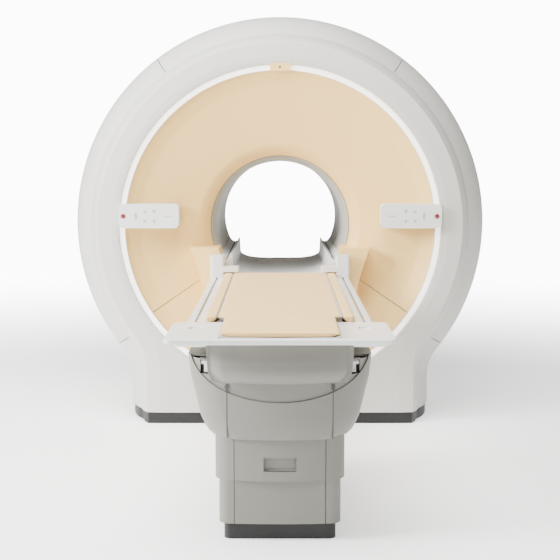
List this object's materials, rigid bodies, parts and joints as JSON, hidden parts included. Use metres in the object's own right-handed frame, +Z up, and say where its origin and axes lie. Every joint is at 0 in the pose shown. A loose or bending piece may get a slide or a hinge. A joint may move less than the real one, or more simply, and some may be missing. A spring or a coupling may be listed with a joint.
{
  "type": "magnetic resonance scanner",
  "caption": "Whole-body magnetic resonance scanner: round superconducting magnet in moulded covers with a flared lit bore, and a patient table on a telescopic lifting pedestal.",
  "frame": {"origin": "on the floor, straight below the isocentre", "axes": "+Z up; +Y along the bore, away from the patient table; +X to the right for someone who stands at the table and looks into the bore"},
  "size_m": [2.3254, 3.86, 2.2376],
  "materials": {
    "cover_grey": "satin moulded cover",
    "funnel_cream": "satin moulded cover",
    "bore_grey": "satin moulded tube",
    "ring_light": "translucent diffuser",
    "panel_white": "satin moulded plastic",
    "table_grey": "satin moulded cover",
    "plinth_black": "matt moulded plastic",
    "pad_cream": "wipe-clean coated foam",
    "stop_red": "gloss",
    "lever_grey": "satin",
    "frame_steel": "powder coated",
    "vessel_steel": "welded and brushed",
    "structure_alloy": "milled",
    "winding_copper": "potted winding",
    "epoxy_coil": "potted epoxy",
    "isolator_rubber": "matt"
  },
  "bodies": {
    "scanner": {"base_kickboard": "plinth_black", "base_plate": "frame_steel", "body_coil": "epoxy_coil", "bridge": "bore_grey", "coil_former": "structure_alloy", "coil_spacers": "isolator_rubber", "cold_head": "vessel_steel", "control_panels": "panel_white", "cover_frames": "frame_steel", "dock_pod": "funnel_cream", "floor_duct": "plinth_black", "foot_covers": "cover_grey", "front_fascia": "cover_grey", "front_funnel": "funnel_cream", "gradient_coil": "epoxy_coil", "helium_vessel": "vessel_steel", "hydraulic_pump": "structure_alloy", "lift_cylinder": "frame_steel", "light_ring_channel": "structure_alloy", "light_ring_diffuser": "ring_light", "lower_column": "frame_steel", "lower_funnel_panel": "funnel_cream", "lower_sleeve": "table_grey", "magnet_base": "frame_steel", "patient_tube": "bore_grey", "plinth": "plinth_black", "radiation_shield": "structure_alloy", "rear_fascia": "cover_grey", "rear_funnel": "funnel_cream", "sensor_tab": "funnel_cream", "side_shells": "cover_grey", "superconducting_coils": "winding_copper", "suspension_pads": "epoxy_coil", "top_shell": "cover_grey", "vacuum_vessel": "vessel_steel"},
    "sleeve_stage": {"mid_sleeve": "table_grey", "middle_column": "frame_steel"},
    "table": {"body_covers": "table_grey", "body_front_panel": "table_grey", "collar": "table_grey", "table_skirt": "table_grey", "table_frame": "structure_alloy", "upper_column": "frame_steel", "lift_rod": "vessel_steel", "side_rails": "panel_white", "arm_pads": "pad_cream", "table_wings": "panel_white", "end_blocks": "panel_white", "drive_belt": "isolator_rubber", "drive_motor": "structure_alloy", "pulley_shafts": "vessel_steel"},
    "tabletop": {"mattress": "pad_cream", "tabletop_board": "panel_white", "carriage": "structure_alloy"},
    "left_stop": {"left_stop_button": "stop_red"},
    "right_stop": {"right_stop_button": "stop_red"},
    "left_lever": {"left_release_lever": "lever_grey"},
    "right_lever": {"right_release_lever": "lever_grey"},
    "drive_wheel": {"drive_pulley": "structure_alloy"},
    "idler_wheel": {"idler_pulley": "structure_alloy"}
  },
  "joints": [
    {"name": "table_lift", "type": "slide", "parent": "scanner", "child": "table", "axis": [0, 0, 1], "range_m": [-0.26, 0]},
    {"name": "sleeve_lift", "type": "slide", "parent": "scanner", "child": "sleeve_stage", "axis": [0, 0, 1], "range_m": [-0.13, 0]},
    {"name": "tabletop_travel", "type": "slide", "parent": "table", "child": "tabletop", "axis": [0, 1, 0], "range_m": [0, 1.6]},
    {"name": "drive_spin", "type": "hinge", "parent": "table", "child": "drive_wheel", "pos_m": [0.06, -1.016, 0.748], "axis": [-1, 0, 0], "range_deg": [0, 4300]},
    {"name": "idler_spin", "type": "hinge", "parent": "table", "child": "idler_wheel", "pos_m": [0.06, -2.84, 0.748], "axis": [-1, 0, 0], "range_deg": [0, 4300]},
    {"name": "left_stop_press", "type": "slide", "parent": "scanner", "child": "left_stop", "axis": [0, 1, 0], "range_m": [0, 0.005], "stiffness_N_per_m": 800},
    {"name": "right_stop_press", "type": "slide", "parent": "scanner", "child": "right_stop", "axis": [0, 1, 0], "range_m": [0, 0.005], "stiffness_N_per_m": 800},
    {"name": "left_lever_pull", "type": "hinge", "parent": "table", "child": "left_lever", "pos_m": [-0.278, -2.86, 0.69], "axis": [-1, 0, 0], "range_deg": [0, 25], "stiffness_Nm_per_rad": 0.4},
    {"name": "right_lever_pull", "type": "hinge", "parent": "table", "child": "right_lever", "pos_m": [0.278, -2.86, 0.69], "axis": [-1, 0, 0], "range_deg": [0, 25], "stiffness_Nm_per_rad": 0.4}
  ],
  "couplings": [
    {"joint": "sleeve_lift", "follows": "table_lift", "ratio": 0.5},
    {"joint": "drive_spin", "follows": "tabletop_travel", "rad_per_m": 46.729},
    {"joint": "idler_spin", "follows": "tabletop_travel", "rad_per_m": 46.729}
  ]
}
